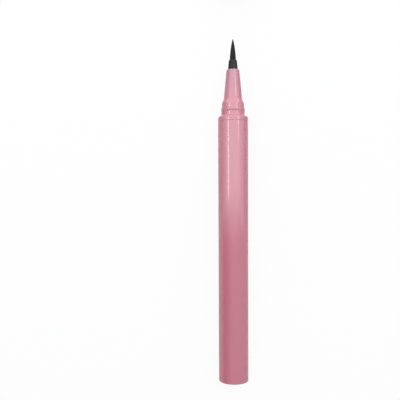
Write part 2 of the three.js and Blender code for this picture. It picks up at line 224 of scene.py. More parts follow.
def outline_of(corners, ring):
    """Turns corners (radius, along, roundness) into the points of an outline.

    At a corner with half angle h between its edges, an arc of radius q touches both edges at q / tan h
    from the corner, round a centre on the bisector at q / sin h. Where the arcs of two neighbours don't
    fit on their edge, each shrinks by the ratio of the edge's length to what both need. The arc's points
    are its first point turned about its centre in equal steps. One more point on each side of the arc
    lies a little way along the straight stretch.
    """
    table = np.array([(*corner, 0)[:3] for corner in corners], float)
    place, roundness = table[:, :2], table[:, 2]
    back = np.roll(place, 1, axis=0) - place
    ahead = np.roll(place, -1, axis=0) - place
    back_length = np.maximum(np.linalg.norm(back, axis=1), NEARLY_ZERO)
    ahead_length = np.maximum(np.linalg.norm(ahead, axis=1), NEARLY_ZERO)
    back = back / back_length[:, None]
    ahead = ahead / ahead_length[:, None]
    half = np.arccos(np.clip((back * ahead).sum(1), -1, 1)) / 2
    reach = roundness / np.maximum(np.tan(half), NEARLY_ZERO)
    fit_back = back_length / np.maximum(reach + np.roll(reach, 1), NEARLY_ZERO)
    fit_ahead = ahead_length / np.maximum(reach + np.roll(reach, -1), NEARLY_ZERO)
    touch = reach * np.minimum(1, np.minimum(fit_back, fit_ahead))
    radius = touch * np.tan(half)
    bisector = back + ahead
    bisector = bisector / np.maximum(np.linalg.norm(bisector, axis=1), NEARLY_ZERO)[:, None]
    centre = place + bisector * (radius / np.maximum(np.sin(half), NEARLY_ZERO))[:, None]
    start = place + back * touch[:, None]
    end = place + ahead * touch[:, None]
    side = -np.sign(back[:, 0] * ahead[:, 1] - back[:, 1] * ahead[:, 0])
    turn = (side * (math.pi - 2 * half))[:, None] * np.linspace(0, 1, ARC_STEPS + 1)
    arm = (start - centre)[:, None, :]
    arc = centre[:, None, :] + np.stack([
        arm[..., 0] * np.cos(turn) - arm[..., 1] * np.sin(turn),
        arm[..., 0] * np.sin(turn) + arm[..., 1] * np.cos(turn),
    ], axis=-1)
    spare_ahead = ahead_length - touch - np.roll(touch, -1)
    spare_back = np.roll(spare_ahead, 1)
    before = start + back * np.minimum(HOLDING, spare_back / 3)[:, None]
    after = end + ahead * np.minimum(HOLDING, spare_ahead / 3)[:, None]
    points = np.concatenate([before[:, None], arc, after[:, None]], axis=1).reshape(-1, 2)
    if not ring:
        points = points[1:-1]
    apart = np.linalg.norm(points - np.roll(points, 1, axis=0), axis=1) > NEARLY_ZERO
    return points[apart | (np.arange(len(points)) == 0)]


def mesh_piece(name, points, faces, sharp_degrees=SHARP_DEGREES):
    """An object from points in metres and a list of faces, smooth but for edges that turn sharply."""
    mesh = bpy.data.meshes.new(name)
    mesh.from_pydata(points.tolist(), [], faces)
    mesh.shade_smooth()
    mesh.set_sharp_from_angle(angle=math.radians(sharp_degrees))
    piece = bpy.data.objects.new(name, mesh)
    bpy.context.scene.collection.objects.link(piece)
    return piece


def turned_arrays(outline, sides, shift=0):
    """Points and faces of an outline carried round the pen's axis.

    Point (i, j) is (r_i sin f_j, a_i + shift, r_i cos f_j + axis height), with f_j going once round.
    A row on the axis is one point, and the faces beside it are triangles.
    """
    radii = outline[:, 0] * INSIDE_SIDES
    angle = np.arange(sides) * 2 * math.pi / sides
    grid = np.stack([
        radii[:, None] * np.sin(angle),
        np.repeat(outline[:, 1:] + shift, sides, axis=1),
        radii[:, None] * np.cos(angle) + AXIS_HEIGHT,
    ], axis=-1)
    on_axis = radii < NEARLY_ZERO
    number = np.arange(grid.shape[0] * sides).reshape(-1, sides)
    number[on_axis] = number[on_axis][:, :1]
    ring = not (on_axis[0] and on_axis[-1])
    this_row = number if ring else number[:-1]
    next_row = np.roll(number, -1, axis=0) if ring else number[1:]
    quads = np.stack([this_row, np.roll(this_row, -1, 1), np.roll(next_row, -1, 1), next_row], axis=-1)
    quads = quads.reshape(-1, 4)
    first_pole = quads[:, 0] == quads[:, 1]
    last_pole = quads[:, 2] == quads[:, 3]
    whole = quads[~(first_pole | last_pole)]
    triangles = np.concatenate([quads[first_pole][:, 1:], quads[last_pole & ~first_pole][:, :3]])
    used, renumbered = np.unique(np.concatenate([whole.ravel(), triangles.ravel()]), return_inverse=True)
    points = grid.reshape(-1, 3)[used] * MM
    faces = renumbered[:whole.size].reshape(-1, 4).tolist()
    faces += renumbered[whole.size:].reshape(-1, 3).tolist()
    return points, faces


def turned(name, corners, shift, ring=True, sides=SIDES):
    """A piece turned from corners. A ring's outline closes on itself, any other runs from axis to axis."""
    points, faces = turned_arrays(outline_of(corners, ring), sides, shift)
    return mesh_piece(name, points, faces)


class Field:
    """A number, colour or vector of a node tree, with the arithmetic signs for numbers."""

    def __init__(self, nodes, socket):
        self.nodes = nodes
        self.socket = socket

    def __add__(self, other):
        return self.nodes.maths("ADD", self, other)

    def __sub__(self, other):
        return self.nodes.maths("SUBTRACT", self, other)

    def __rsub__(self, other):
        return self.nodes.maths("SUBTRACT", other, self)

    def __mul__(self, other):
        return self.nodes.maths("MULTIPLY", self, other)

    __radd__ = __add__
    __rmul__ = __mul__


class Nodes:
    """The node tree of a material, a lamp or the world."""

    def __init__(self, owner):
        owner.use_nodes = True
        self.tree = owner.node_tree

    def node(self, kind, settings=None, inputs=None, output=0):
        """Any node: its settings are set first, then the values or links of its sockets."""
        made = self.tree.nodes.new(kind)
        for key, value in (settings or {}).items():
            setattr(made, key, value)
        for key, value in (inputs or {}).items():
            self.feed(made.inputs[key], value)
        return Field(self, made.outputs[output])

    def feed(self, socket, value):
        if isinstance(value, Field):
            self.tree.links.new(value.socket, socket)
        else:
            socket.default_value = value

    def maths(self, operation, left, right):
        return self.node("ShaderNodeMath", {"operation": operation}, {0: left, 1: right})

    def rising(self, value, low, high, least=0, most=1):
        """The least below low, the most above high, and smooth between."""
        inputs = {"Value": value, "From Min": low, "From Max": high, "To Min": least, "To Max": most}
        return self.node("ShaderNodeMapRange", {"interpolation_type": "SMOOTHSTEP"}, inputs)

    def seen(self, straight=1, in_gloss=1):
        """A share for the camera's rays and those through glass, one for gloss, and 0 for light itself."""
        kinds = ("Is Camera Ray", "Is Glossy Ray", "Is Transmission Ray")
        camera, glossy, through = (self.node("ShaderNodeLightPath", output=kind) for kind in kinds)
        return self.maths("MINIMUM", straight * (camera + through) + in_gloss * glossy, 1)


class Finish(Nodes):
    """A material whose patterns are placed by the object's own coordinates, in millimetres."""

    def __init__(self, name, colour, roughness, **constants):
        self.material = bpy.data.materials.new(name)
        super().__init__(self.material)
        self.shader = self.tree.nodes["Principled BSDF"]
        self.shader.inputs["Base Color"].default_value = (*colour, 1)
        self.shader.inputs["Roughness"].default_value = roughness
        for socket, value in constants.items():
            self.shader.inputs[socket.replace("_", " ")].default_value = value
        place = self.node("ShaderNodeTexCoord", output="Object")
        self.place = self.node("ShaderNodeVectorMath", {"operation": "SCALE"}, {0: place, "Scale": 1 / MM})

    def noise(self, patch, detail=2):
        """Soft noise from 0 to 1, in patches of this size across and along the pen, in millimetres."""
        across, along = patch
        scale = (1 / across, 1 / along, 1 / across)
        place = self.node("ShaderNodeVectorMath", {"operation": "MULTIPLY"}, {0: self.place, 1: scale})
        return self.node("ShaderNodeTexNoise", {}, {"Vector": place, "Scale": 1, "Detail": detail}, "Fac")

    def mixed(self, share, first, second):
        """A colour between two, by a share from 0 to 1. The node has sockets of their own for colours."""
        first_socket, second_socket, colour_output = 6, 7, 2
        colours = {}
        for key, colour in ((first_socket, first), (second_socket, second)):
            colours[key] = colour if isinstance(colour, Field) else (*colour, 1)
        return self.node("ShaderNodeMix", {"data_type": "RGBA"}, {0: share, **colours}, colour_output)

    def coordinate(self, axis):
        return self.node("ShaderNodeSeparateXYZ", {}, {0: self.place}, axis)

    def colour(self, field):
        self.feed(self.shader.inputs["Base Color"], field)

    def roughness(self, field):
        self.feed(self.shader.inputs["Roughness"], field)

    def relief(self, field, height):
        """Bumps of the given height in millimetres where the field is 1."""
        inputs = {"Height": field, "Distance": height * MM, "Strength": 1}
        self.feed(self.shader.inputs["Normal"], self.node("ShaderNodeBump", {}, inputs, "Normal"))


# Patterns in the finishes: sizes across and along the pen, and heights of their relief, in millimetres
MOULDING_CLOUDS = (7, 22)
FLOW_LINES = (1.2, 30)
HAIR_LINES = (0.09, 2.4)
MARKED_PATCHES = (5, 14)
SOFT_WAVES, SOFT_WAVE_HEIGHT = (1.6, 2.6), 0.0005
INK_STAINS, INK_STAIN_HEIGHT = (0.5, 0.9), 0.003
BRISTLE_CLUMPS = (0.35, 2.5)
LINER_CLOUDS, LINER_CLOUD_HEIGHT = (2.2, 3.4), 0.006
INK_SPECKS = (0.7, 1.6)
INK_PATCHES = (0.9, 1.4)
MOULD_GRAIN, MOULD_GRAIN_HEIGHT = (0.3, 0.3), 0.004
FIBRES, FIBRE_HEIGHT = (0.06, 1.8), 0.02
RUBBER_BLOOM, RUBBER_BLOOM_HEIGHT = (0.25, 0.25), 0.004
INK_FILM = (0.8, 0.8)
POLISH_MARKS, POLISH_MARK_HEIGHT = (0.15, 0.15), 0.001


def handling_marks(finish):
    """Hair lines: noise drawn out along the pen, of which only the crests stay, and only in patches."""
    lines = finish.noise(HAIR_LINES, detail=3)
    patches = finish.noise(MARKED_PATCHES, detail=1)
    return finish.rising(lines, 0.7, 0.75) * finish.rising(patches, 0.45, 0.7)


def cone_grey_and_rim_highlight(finish):
    """How much greyer the cone turns towards its rim, and how much of the rim's pale grey tint there is,
    which is partly a film of dried ink and partly painted highlight, each from 0 to 1. The cap has none.
    """
    along = finish.coordinate("Y")
    foot, rim = SHOULDER + CONE_START, SHOULDER + CONE_END
    up_the_cone = finish.rising(along, foot, rim)
    before_the_cap = finish.rising(along, SHOULDER + HOLDER_END, rim + CONE_MOUTH_ROUND)
    on_cone = up_the_cone * before_the_cap
    # the second share marks the rim's pale grey, partly an ink film and partly painted highlight
    return on_cone, on_cone * finish.rising(along, rim - CONE_RIM_ROUND, rim - CONE_MOUTH_ROUND)


def pink_plastic():
    """Glossy plastic, coloured right through, with the soft clouds of its moulding and faint handling marks.

    The cone turns a little greyer towards its rim. The rounded rim itself is tinted pale grey, partly as a
    thin film of dried ink and partly as a painted highlight.
    """
    finish = Finish("pink_plastic", (0.424, 0.129, 0.170), 0.1, IOR=1.7)
    clouds = finish.noise(MOULDING_CLOUDS, detail=3) * 0.7 + finish.noise(FLOW_LINES) * 0.3
    clean = finish.mixed(finish.rising(clouds, 0.3, 0.7), (0.417, 0.126, 0.166), (0.431, 0.132, 0.174))
    on_cone, rim_ink_and_highlight = cone_grey_and_rim_highlight(finish)
    cone_greyed = finish.mixed(on_cone, clean, (0.35, 0.124, 0.174))
    # the rim's pale grey tint: partly an ink film, partly a painted highlight
    finish.colour(finish.mixed(rim_ink_and_highlight, cone_greyed, (0.28, 0.18, 0.215)))
    finish.roughness(0.08 + clouds * 0.03 + handling_marks(finish) * 0.08)
    finish.relief(finish.noise(SOFT_WAVES), SOFT_WAVE_HEIGHT)
    return finish.material


def black_plastic():
    """Glossy black, with stains of dried ink."""
    finish = Finish("black_plastic", (0.004, 0.004, 0.004), 0.14, IOR=1.28)
    stains = finish.noise(INK_STAINS, detail=4)
    dried = finish.rising(stains, 0.5, 0.62)
    finish.colour(finish.mixed(dried, (0.005, 0.005, 0.005), (0.003, 0.003, 0.003)))
    finish.roughness(0.06 + dried * 0.12)
    finish.relief(stains, INK_STAIN_HEIGHT)
    return finish.material


def bristle():
    """Dark fibre, wet with ink. Every bristle has its own shade, and the ink thins towards its tip."""
    finish = Finish("bristle", (0.012, 0.011, 0.012), 0.45, IOR=1.2)
    shade = finish.node("ShaderNodeAttribute", {"attribute_name": "shade"}, output="Fac")
    height = finish.node("ShaderNodeAttribute", {"attribute_name": "height"}, output="Fac")
    clumps = finish.noise(BRISTLE_CLUMPS)
    # the bud's solid middle has shade 0 and so the darkest tone, painted shade inside the bud
    light = finish.rising(shade * 0.6 + clumps * 0.4, 0.25, 0.85)
    wet = finish.mixed(light, (0.006, 0.0055, 0.006), (0.034, 0.031, 0.033))
    finish.colour(finish.mixed(finish.rising(height, 0.55, 1.0), wet, (0.03, 0.027, 0.029)))
    finish.roughness(0.4 + light * 0.2)
    return finish.material


def liner_plastic():
    """Waxy white, shaded a little by old ink deep in the chamber."""
    finish = Finish("white_plastic", (0.86, 0.85, 0.82), 0.38, IOR=1.48)
    clouds = finish.noise(LINER_CLOUDS, detail=3)
    deep = finish.rising(finish.coordinate("Y"), CAP_RIM + OLD_INK_START, CAP_RIM + CHAMBER_END)
    specks = finish.rising(finish.noise(INK_SPECKS, detail=4), 0.55, 0.68)
    clean = finish.mixed(clouds, (0.83, 0.82, 0.79), (0.88, 0.875, 0.85))
    finish.colour(finish.mixed(deep * specks * 0.5, clean, (0.2, 0.17, 0.18)))
    finish.roughness(0.33 + clouds * 0.14)
    finish.relief(clouds, LINER_CLOUD_HEIGHT)
    return finish.material


def natural_plastic():
    """Uncoloured plastic, semi-matt, with patches of ink on it."""
    finish = Finish("natural_plastic", (0.7, 0.71, 0.68), 0.42, IOR=1.49)
    ink = finish.rising(finish.noise(INK_PATCHES, detail=4), 0.5, 0.66)
    finish.colour(finish.mixed(ink * 0.75, (0.7, 0.71, 0.68), (0.09, 0.07, 0.08)))
    finish.roughness(0.45 - ink * 0.2)
    finish.relief(finish.noise(MOULD_GRAIN, detail=3), MOULD_GRAIN_HEIGHT)
    return finish.material


def feed_fibre():
    """A rod of pressed fibres that run along it, dark with ink."""
    finish = Finish("feed_fibre", (0.03, 0.025, 0.028), 0.8, IOR=1.4)
    fibres = finish.noise(FIBRES, detail=4)
    finish.colour(finish.mixed(finish.rising(fibres, 0.35, 0.7), (0.016, 0.013, 0.015), (0.07, 0.06, 0.065)))
    finish.roughness(0.6 + fibres * 0.3)
    finish.relief(fibres, FIBRE_HEIGHT)
    return finish.material


def seal_rubber():
    """Matt black rubber with a fine bloom."""
    finish = Finish("seal_rubber", (0.018, 0.018, 0.018), 0.7, IOR=1.5)
    bloom = finish.noise(RUBBER_BLOOM, detail=4)
    finish.colour(finish.mixed(finish.rising(bloom, 0.45, 0.75), (0.015, 0.015, 0.015), (0.04, 0.04, 0.041)))
    finish.roughness(0.55 + bloom * 0.3)
    finish.relief(bloom, RUBBER_BLOOM_HEIGHT)
    return finish.material


def ball_steel():
    """Polished steel under a thin, uneven film of ink."""
    finish = Finish("ball_steel", (0.62, 0.62, 0.63), 0.14, Metallic=1.0)
    film = finish.rising(finish.noise(INK_FILM, detail=4), 0.45, 0.65)
    finish.colour(finish.mixed(film * 0.8, (0.64, 0.64, 0.65), (0.12, 0.1, 0.11)))
    finish.roughness(0.1 + film * 0.25)
    finish.relief(finish.noise(POLISH_MARKS), POLISH_MARK_HEIGHT)
    return finish.material


FINISHES = {
    "pink_plastic": pink_plastic(),
    "black_plastic": black_plastic(),
    "bristle": bristle(),
    "white_plastic": liner_plastic(),
    "natural_plastic": natural_plastic(),
    "feed_fibre": feed_fibre(),
    "seal_rubber": seal_rubber(),
    "ball_steel": ball_steel(),
}


def fitted(piece, body, slot, *nodes):
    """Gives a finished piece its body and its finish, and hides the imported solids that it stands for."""
    piece.data.materials.append(FINISHES[slot])
    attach(piece, body)
    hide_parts(*nodes)


def barrel_tube():
    return turned("barrel_tube", [
        (PLUG_SEAT_RADIUS, TAIL_END, BARREL_SEAT_ROUND),
        (BARREL_TAIL_RADIUS, TAIL_END, BARREL_TAIL_ROUND),
        (BARREL_FRONT_RADIUS, -FLANGE_LENGTH, SEAM_BEVEL),
        (BORE_RADIUS, -FLANGE_LENGTH, BARREL_MOUTH_ROUND),
        (BORE_RADIUS, PLUG_HEAD_END),
        (PLUG_SEAT_RADIUS, PLUG_HEAD_END),
    ], SHOULDER)


def tail_end_plug():
    groove = PRESSED_RADIUS - 2 * SEAL_SECTION - PRESS_GAP
    groove_end = GROOVE_START + 2 * SEAL_SECTION + 2 * PRESS_GAP
    inner_end = TAIL_END + PLUG_LENGTH
    return turned("tail_end_plug", [
        (0, TAIL_END),
        (PLUG_SEAT_RADIUS - PRESS_GAP, TAIL_END, PLUG_EDGE_ROUND),
        (PLUG_SEAT_RADIUS - PRESS_GAP, PLUG_HEAD_END, PLUG_STEP_ROUND),
        (PRESSED_RADIUS, PLUG_HEAD_END),
        (PRESSED_RADIUS, GROOVE_START, GROOVE_EDGE_ROUND),
        (groove, GROOVE_START, GROOVE_FLOOR_ROUND),
        (groove, groove_end, GROOVE_FLOOR_ROUND),
        (PRESSED_RADIUS, groove_end, GROOVE_EDGE_ROUND),
        (PRESSED_RADIUS, inner_end, PLUG_EDGE_ROUND),
        (groove - PLUG_WALL, inner_end, PLUG_LIP_ROUND),
        (groove - PLUG_WALL, TAIL_END + PLUG_FLOOR, PLUG_FLOOR_ROUND),
        (0, TAIL_END + PLUG_FLOOR),
    ], SHOULDER, ring=False)


def rubber_ring():
    """A circle of the ring's section, carried round the axis."""
    middle_radius = PRESSED_RADIUS - SEAL_SECTION
    middle = GROOVE_START + SEAL_SECTION + PRESS_GAP
    angle = np.arange(SEAL_STEPS) * 2 * math.pi / SEAL_STEPS
    outline = np.stack([
        middle_radius + SEAL_SECTION * np.cos(angle),
        middle + SEAL_SECTION * np.sin(angle),
    ], axis=-1)
    return mesh_piece("rubber_ring", *turned_arrays(outline, SIDES, SHOULDER))


def front_moulding():
    snap_middle = (SNAP_RING_START + SNAP_RING_END) / 2
    spigot_end = -FLANGE_LENGTH - SPIGOT_LENGTH
    return turned("front_moulding", [
        (PRESSED_RADIUS - SPIGOT_WALL, spigot_end, SPIGOT_BORE_ROUND),
        (PRESSED_RADIUS, spigot_end, SPIGOT_ROUND),
        (PRESSED_RADIUS, -FLANGE_LENGTH, SPIGOT_ROOT_ROUND),
        (BARREL_FRONT_RADIUS, -FLANGE_LENGTH, SEAM_BEVEL),
        (BARREL_FRONT_RADIUS, 0, FLANGE_ROUND),
        (NECK_RADIUS, 0, NECK_ROUND),
        (NECK_RADIUS, SNAP_RING_START, NECK_END_ROUND),
        (SNAP_RING_RADIUS, snap_middle, SNAP_RING_ROUND),
        (NECK_RADIUS, SNAP_RING_END, SNAP_RING_VALLEY),
        (COLLAR_RADIUS, COLLAR_START, COLLAR_FOOT_ROUND),
        (COLLAR_RADIUS, COLLAR_END, COLLAR_ROUND),
        (CONE_BASE_RADIUS, CONE_START, CONE_FOOT_ROUND),
        (CONE_RIM_RADIUS, CONE_END, CONE_RIM_ROUND),
        (CONE_BORE_RADIUS, CONE_END, CONE_MOUTH_ROUND),
        (CONE_BORE_RADIUS, CONE_START),
        (PRESSED_RADIUS - SPIGOT_WALL, HOLLOW_END),
    ], SHOULDER)


def black_holder():
    return turned("black_holder", [
        (FEED_BORE_RADIUS, HOLDER_STEM_END, HOLDER_BORE_ROUND),
        (HOLDER_STEM_RADIUS, HOLDER_STEM_END, HOLDER_STEM_ROUND),
        (HOLDER_STEM_RADIUS, CONE_END),
        (HOLDER_SEAT_RADIUS, CONE_END, HOLDER_SEAT_ROUND),
        (HOLDER_MOUTH_RADIUS, HOLDER_END, HOLDER_MOUTH_ROUND),
        (BRUSH_BORE_RADIUS, HOLDER_END, HOLDER_LIP_ROUND),
        (BRUSH_BORE_RADIUS, ROOT_BACK),
        (FEED_BORE_RADIUS, ROOT_BACK),
    ], SHOULDER, sides=SMALL_SIDES)


# Bristles. Their heights are shares of the brush's length, from 0 at the holder's mouth to 1 at the tip.
STRANDS = 620
STRAND_RADIUS = 0.043
STRAND_SIDES = 4
STATION_SHARES = np.array([0, 0.16, 0.36, 0.56, 0.74, 0.9, 1.0])
TAPER_SHARES = np.array([1, 0.97, 0.88, 0.76, 0.62, 0.44, 0.12])
THICKNESS_SHARES = (0.85, 1.1)
LEAN_SHARE = 0.35
FOLLOW_SHARE = 0.65  # how far a bristle follows the bud's curve instead of standing straight
SKIN_SHARE = 0.985  # a bristle ends where it comes this near to the bud's outside
BUD_POWER = 1.5
BUD_BLUNT = 0.76
BUD_SWELL = 1.05  # how much wider the bud is than its glued root
BUD_STEPS = 24
SWELL_SHARE = 0.06  # the height at which it has that width
HALVINGS = 24
BRISTLE_SEED = 7
BEARING_SCATTER = 0.03  # radians
LENGTH_SCATTER = 0.025  # as a share of a bristle's length
SWAY_SCATTER = 0.012  # millimetres, at half a bristle's length
BRISTLE_SHARP_DEGREES = 80


def bud_share(height):
    """The bud's radius at a height from 0 to 1, as a share of its root: (1 - height^power)^blunt."""
    return (1 - np.clip(height, 0, 1) ** BUD_POWER) ** BUD_BLUNT


def swell(height):
    """The bud's width beside its root's, which rises from 1 straight above the root."""
    return 1 + (BUD_SWELL - 1) * np.clip(height / SWELL_SHARE, 0, 1)


def strand_share(height):
    """How far from the axis a bristle stands at a height, as a share of its place at the root."""
    straight = 1 - LEAN_SHARE * height
    return (1 - FOLLOW_SHARE) * straight + FOLLOW_SHARE * bud_share(height)


def strand_arrays(random):
    """Points, faces and heights of the bristles.

    Bristle n stands on a sunflower spiral at sqrt(n / count) of the root's radius. Its distance from the
    axis at height h is its place times strand_share(h), and it ends where that meets the bud's radius,
    found by halving for all bristles at once. Its section is a small polygon that tapers to its tip.
    """
    count = np.arange(STRANDS)
    share = np.sqrt((count + 0.5) / STRANDS)
    golden_angle = math.pi * (3 - math.sqrt(5))
    bearing = count * golden_angle + random.normal(0, BEARING_SCATTER, STRANDS)
    low, high = np.zeros(STRANDS), np.ones(STRANDS)
    for _ in range(HALVINGS):
        middle = (low + high) / 2
        inside = share * strand_share(middle) < bud_share(middle) * SKIN_SHARE
        low, high = np.where(inside, middle, low), np.where(inside, high, middle)
    length = low * (1 - np.abs(random.normal(0, LENGTH_SCATTER, STRANDS)))
    sunk = BRUSH_ROOT_SUNK / BRUSH_LENGTH
    height = -sunk + STATION_SHARES * (length[:, None] + sunk)
    bow = np.sin(math.pi * STATION_SHARES) * (1 - share[:, None])
    sway = random.normal(0, SWAY_SCATTER, (2, STRANDS, 1)) * bow
    radius = share[:, None] * BRUSH_RADIUS * swell(height) * strand_share(np.maximum(height, 0))
    centre_x = radius * np.sin(bearing)[:, None] + sway[0]
    centre_z = radius * np.cos(bearing)[:, None] + sway[1]
    thickness = STRAND_RADIUS * TAPER_SHARES * random.uniform(*THICKNESS_SHARES, (STRANDS, 1))
    angle = bearing[:, None, None] + np.arange(STRAND_SIDES) * 2 * math.pi / STRAND_SIDES
    along = HOLDER_END + height * BRUSH_LENGTH + SHOULDER
    points = np.stack([
        centre_x[:, :, None] + thickness[:, :, None] * np.sin(angle),
        np.repeat(along[:, :, None], STRAND_SIDES, axis=2),
        centre_z[:, :, None] + thickness[:, :, None] * np.cos(angle) + AXIS_HEIGHT,
    ], axis=-1)
    number = np.arange(points.size // 3).reshape(points.shape[:3])
    low_ring, high_ring = number[:, :-1], number[:, 1:]
    walls = np.stack([
        low_ring, np.roll(low_ring, -1, 2), np.roll(high_ring, -1, 2), high_ring,
    ], axis=-1).reshape(-1, 4)
    ends = np.concatenate([number[:, 0, ::-1], number[:, -1]])
    heights = np.repeat(np.maximum(height, 0), STRAND_SIDES)
    return points.reshape(-1, 3) * MM, walls.tolist() + ends.tolist(), heights


def root_arrays():
    """Points and faces of the glued root and of the solid dark middle of the bud in front of it, whose
    darkness is painted shade between the bristles.
    """
    climb = np.linspace(0, 1, BUD_STEPS + 1)
    bud_radius = BRUSH_RADIUS * swell(climb) * bud_share(climb)
    outline = np.concatenate([
        [(0, ROOT_BACK), (BRUSH_RADIUS, ROOT_BACK), (BRUSH_RADIUS, ROOT_FRONT)],
        np.stack([bud_radius, HOLDER_END + BRUSH_LENGTH * climb], axis=-1),
    ])
    return turned_arrays(outline, SMALL_SIDES, SHOULDER)


def bristle_bundle():
    """The bristles and their root, with a shade for each bristle and a height for each point. The root and
    the bud's solid middle take shade 0, the darkest tone, as painted shade inside the bud.
    """
    random = np.random.default_rng(BRISTLE_SEED)
    strand_points, faces, heights = strand_arrays(random)
    root_points, root_faces = root_arrays()
    faces += [[corner + len(strand_points) for corner in face] for face in root_faces]
    points = np.concatenate([strand_points, root_points])
    piece = mesh_piece("bristle_bundle", points, faces, BRISTLE_SHARP_DEGREES)
    shades = np.repeat(random.uniform(0, 1, STRANDS), len(strand_points) // STRANDS)
    # shade 0 on the root and the bud's solid middle gives the darkest tone: painted shade inside the bud
    core_painted_shade_and_height = np.zeros(len(root_points))
    for name, values in (("shade", shades), ("height", heights)):
        attribute = piece.data.attributes.new(name, "FLOAT", "POINT")
        attribute.data.foreach_set("value", np.concatenate([values, core_painted_shade_and_height]).astype(np.float32))
    return piece


def fibre_feed():
    return turned("fibre_feed", [
        (0, PARTITION_BACK - FEED_REACH),
        (FEED_RADIUS, PARTITION_BACK - FEED_REACH, FEED_END_ROUND),
        (FEED_RADIUS, ROOT_BACK, FEED_END_ROUND),
        (0, ROOT_BACK),
    ], SHOULDER, ring=False, sides=SMALL_SIDES)


def partition_cup():
    front = PARTITION_BACK + PARTITION_LENGTH
    web_front = PARTITION_BACK + PARTITION_WEB
    return turned("partition_cup", [
        (FEED_BORE_RADIUS, PARTITION_BACK, PARTITION_BORE_ROUND),
        (PRESSED_RADIUS, PARTITION_BACK, PARTITION_ROUND),
        (PRESSED_RADIUS, front, PARTITION_RIM_ROUND),
        (PRESSED_RADIUS - PARTITION_WALL, front, PARTITION_RIM_ROUND),
        (PRESSED_RADIUS - PARTITION_WALL, web_front, PARTITION_FLOOR_ROUND),
        (FEED_BORE_RADIUS, web_front, PARTITION_BORE_ROUND),
    ], SHOULDER)


def steel_ball():
    """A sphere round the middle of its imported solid, as an outline of half a circle turned about it."""
    centre = (ball_low + ball_high) / 2 / MM
    radius = (ball_high.y - ball_low.y) / 2 / MM
    angle = np.linspace(-math.pi / 2, math.pi / 2, BALL_STEPS + 1)
    outline = np.stack([radius * np.cos(angle), radius * np.sin(angle)], axis=-1)
    outline[[0, -1], 0] = 0
    points, faces = turned_arrays(outline, SMALL_SIDES)
    points += np.array([centre.x, centre.y, centre.z - AXIS_HEIGHT]) * MM
    return mesh_piece("steel_ball", points, faces)


def cap_body():
    bead_middle = (BEAD_START + BEAD_END) / 2
    return turned("cap_body", [
        (0, CAP_LENGTH - CAP_CEILING),
        (CAP_BORE_RADIUS, CAP_LENGTH - CAP_CEILING, CAP_CEILING_ROUND),
        (CAP_BORE_RADIUS, BEAD_END, BEAD_FOOT_ROUND),
        (BEAD_RADIUS, bead_middle, BEAD_ROUND),
        (CAP_BORE_RADIUS, BEAD_START, BEAD_FOOT_ROUND),
        (CAP_BORE_RADIUS, CAP_MOUTH_BEVEL, CAP_MOUTH_ROUND),
        (CAP_BORE_RADIUS + CAP_MOUTH_BEVEL, 0, CAP_MOUTH_ROUND),
        (CAP_RADIUS, 0, CAP_RIM_ROUND),
        (CAP_RADIUS, CAP_LENGTH, CAP_END_ROUND),
        (GATE_RADIUS, CAP_LENGTH, GATE_ROUND),
        (GATE_RADIUS - GATE_DEPTH, CAP_LENGTH - GATE_DEPTH, GATE_ROUND),
        (0, CAP_LENGTH - GATE_DEPTH),
    ], CAP_RIM, ring=False)


def cap_liner():
    grip = CAP_BORE_RADIUS - PRESS_GAP
    body = CHAMBER_END_RADIUS + LINER_WALL
    grip_end = LIP_START + GRIP_LENGTH
    liner_end = CAP_LENGTH - CAP_CEILING - PRESS_GAP
    return turned("cap_liner", [
        (0, CHAMBER_END),
        (CHAMBER_END_RADIUS, CHAMBER_END, CHAMBER_ROUND),
        (CHAMBER_BASE_RADIUS, LIP_END + LIP_TAPER, CHAMBER_BASE_ROUND),
        (LIP_RADIUS, LIP_END, LIP_ROUND),
        (LIP_RADIUS, LIP_START, LIP_EDGE_ROUND),
        (grip, LIP_START, LINER_ROUND),
        (grip, grip_end, GRIP_ROUND),
        (body, grip_end + GRIP_SHOULDER, GRIP_ROUND),
        (body, liner_end, LINER_ROUND),
        (body - LINER_WALL, liner_end, LINER_SKIRT_ROUND),
        (body - LINER_WALL, CHAMBER_END + LINER_WEB, LINER_WEB_ROUND),
        (0, CHAMBER_END + LINER_WEB),
    ], CAP_RIM, ring=False)


fitted(barrel_tube(), "pen", "pink_plastic", "barrel")
fitted(tail_end_plug(), "pen", "pink_plastic", "tail_plug")
fitted(rubber_ring(), "pen", "seal_rubber", "tail_seal_ring")
fitted(front_moulding(), "pen", "pink_plastic", "front_section")
fitted(black_holder(), "pen", "black_plastic", "brush_holder")
fitted(bristle_bundle(), "pen", "bristle", "brush")
fitted(fibre_feed(), "pen", "feed_fibre", "feed_core")
fitted(partition_cup(), "pen", "natural_plastic", "tank_partition")
fitted(steel_ball(), "mixing_ball", "ball_steel", "mixing_ball")
fitted(cap_body(), "cap", "pink_plastic", "cap_shell")
fitted(cap_liner(), "cap", "white_plastic", "inner_cap")

collector = frame["nodes"]["ink_collector"]
collector.data.materials.clear()
collector.data.materials.append(FINISHES["natural_plastic"])


# The room, in metres: a white floor, a broad soft light over the pen and ahead of it, softly bright walls on
# all four sides, and two narrow tubes that draw the lines along its gloss. A radiance of 1 is plain white.
FLOOR_HALF = 3.0
FLOOR_GLOW = 0.92  # how much of its own white the camera sees in the floor, the rest is lit and shaded
FLOOR_NEAR, FLOOR_FAR = 200, 700  # millimetres from the middle, between which the floor turns plain white
FLOOR_GLOW_IN_GLOSS = 0.1  # how much the gloss sees, which shows the shade beside the pen
ROOM_STRENGTH = 0.03
ROOM_DIMNESS = 0.8  # how much dimmer gloss finds the room behind on the left, which rounds the tail
DIM_SIDEWAYS = (-0.95, -0.2)  # a direction's part to the right, where the room is dimmest and where not dim
DIM_BEHIND = (-0.12, 0)  # its part ahead, likewise
LIGHT_HEIGHT = 0.65
ROOM_LEFT, ROOM_RIGHT = -1.2, 1.0
ROOM_BACK, ROOM_FRONT = -1.2, 0.7
BROAD_START = -0.09  # the broad light and the side walls run from above the pen's tail to the front wall
BROAD_RADIANCE = 2.35
